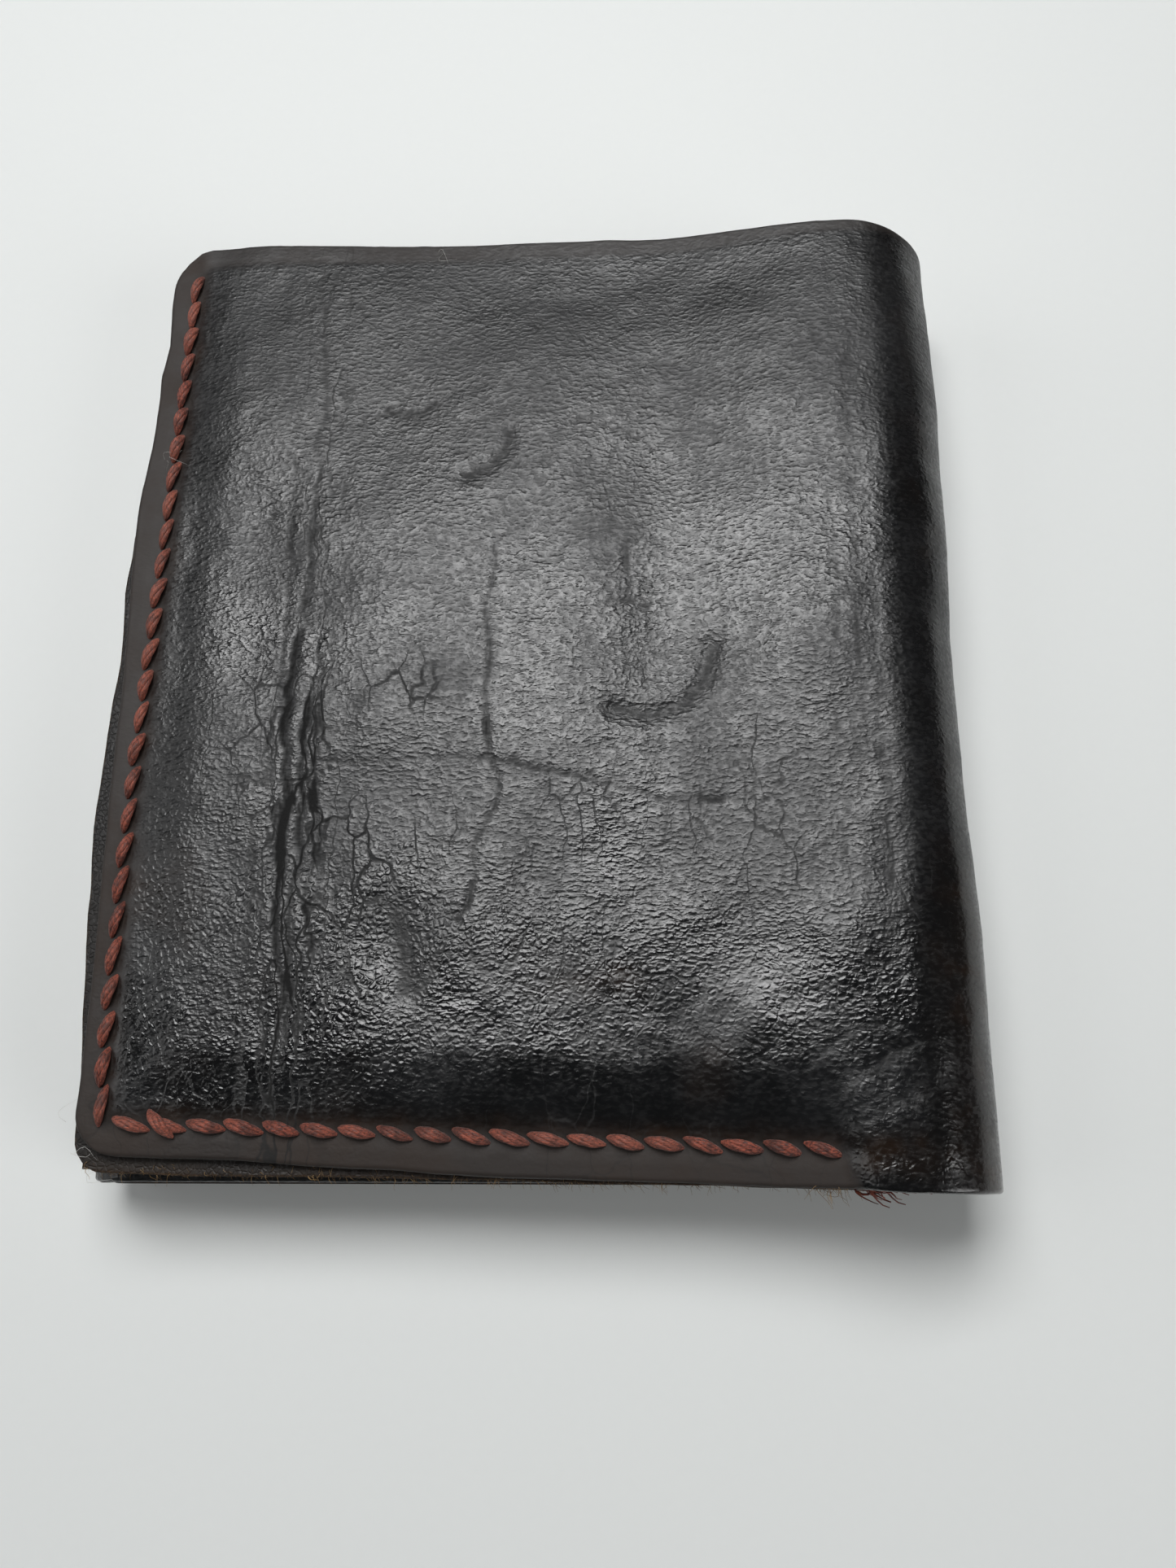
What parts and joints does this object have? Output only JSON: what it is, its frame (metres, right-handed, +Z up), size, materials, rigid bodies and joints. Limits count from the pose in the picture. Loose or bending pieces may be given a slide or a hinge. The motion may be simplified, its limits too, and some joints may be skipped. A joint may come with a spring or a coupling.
{
  "type": "trifold wallet",
  "caption": "Closed hand-stitched leather trifold wallet with a bill compartment and card pockets; both folds open.",
  "frame": {"origin": "middle of the rest face, under the back panel", "axes": "+Z up, +Y towards the open bill edge, +X towards the outer fold"},
  "size_m": [0.0926, 0.112, 0.0155],
  "materials": {
    "cover_leather": "worn satin",
    "lining_leather": "matt",
    "waxed_thread": "waxed"
  },
  "bodies": {
    "back_body": {"cover_back_panel": "cover_leather", "bill_wall_back": "lining_leather", "back_pocket_1": "lining_leather", "back_pocket_2": "lining_leather", "back_pocket_3": "lining_leather", "back_bottom_stitches": "waxed_thread", "back_pocket_left_stitches": "waxed_thread", "back_pocket_right_stitches": "waxed_thread"},
    "outer_spine_body": {"cover_outer_spine": "cover_leather", "bill_wall_outer_spine": "lining_leather"},
    "front_body": {"cover_front_panel": "cover_leather", "bill_wall_front": "lining_leather", "front_pocket_1": "lining_leather", "front_pocket_2": "lining_leather", "front_side_stitches": "waxed_thread", "front_bottom_stitches": "waxed_thread", "front_pocket_stitches": "waxed_thread", "frayed_thread_end": "waxed_thread"},
    "inner_spine_body": {"cover_inner_spine": "cover_leather", "bill_wall_inner_spine": "lining_leather"},
    "inner_body": {"cover_inner_panel": "cover_leather", "bill_wall_inner": "lining_leather", "inner_pocket_1": "lining_leather", "inner_pocket_2": "lining_leather", "inner_side_stitches": "waxed_thread", "inner_bottom_stitches": "waxed_thread", "inner_pocket_stitches": "waxed_thread"}
  },
  "joints": [
    {"name": "outer_fold_front", "type": "hinge", "parent": "outer_spine_body", "child": "front_body", "pos_m": [0.04405, 0, 0.0128], "axis": [0, 1, 0], "range_deg": [0, 90]},
    {"name": "outer_fold_back", "type": "hinge", "parent": "back_body", "child": "outer_spine_body", "pos_m": [0.04405, 0, 0.0022], "axis": [0, 1, 0], "range_deg": [0, 90]},
    {"name": "inner_fold_back", "type": "hinge", "parent": "back_body", "child": "inner_spine_body", "pos_m": [-0.0448, 0, 0.00145], "axis": [0, -1, 0], "range_deg": [0, 28]},
    {"name": "inner_fold_inner", "type": "hinge", "parent": "inner_spine_body", "child": "inner_body", "pos_m": [-0.0448, 0, 0.00845], "axis": [0, -1, 0], "range_deg": [0, 28]}
  ],
  "couplings": [
    {"joint": "outer_fold_back", "follows": "outer_fold_front", "ratio": 1},
    {"joint": "inner_fold_back", "follows": "outer_fold_front", "ratio": 0.3},
    {"joint": "inner_fold_inner", "follows": "outer_fold_front", "ratio": 0.3}
  ]
}
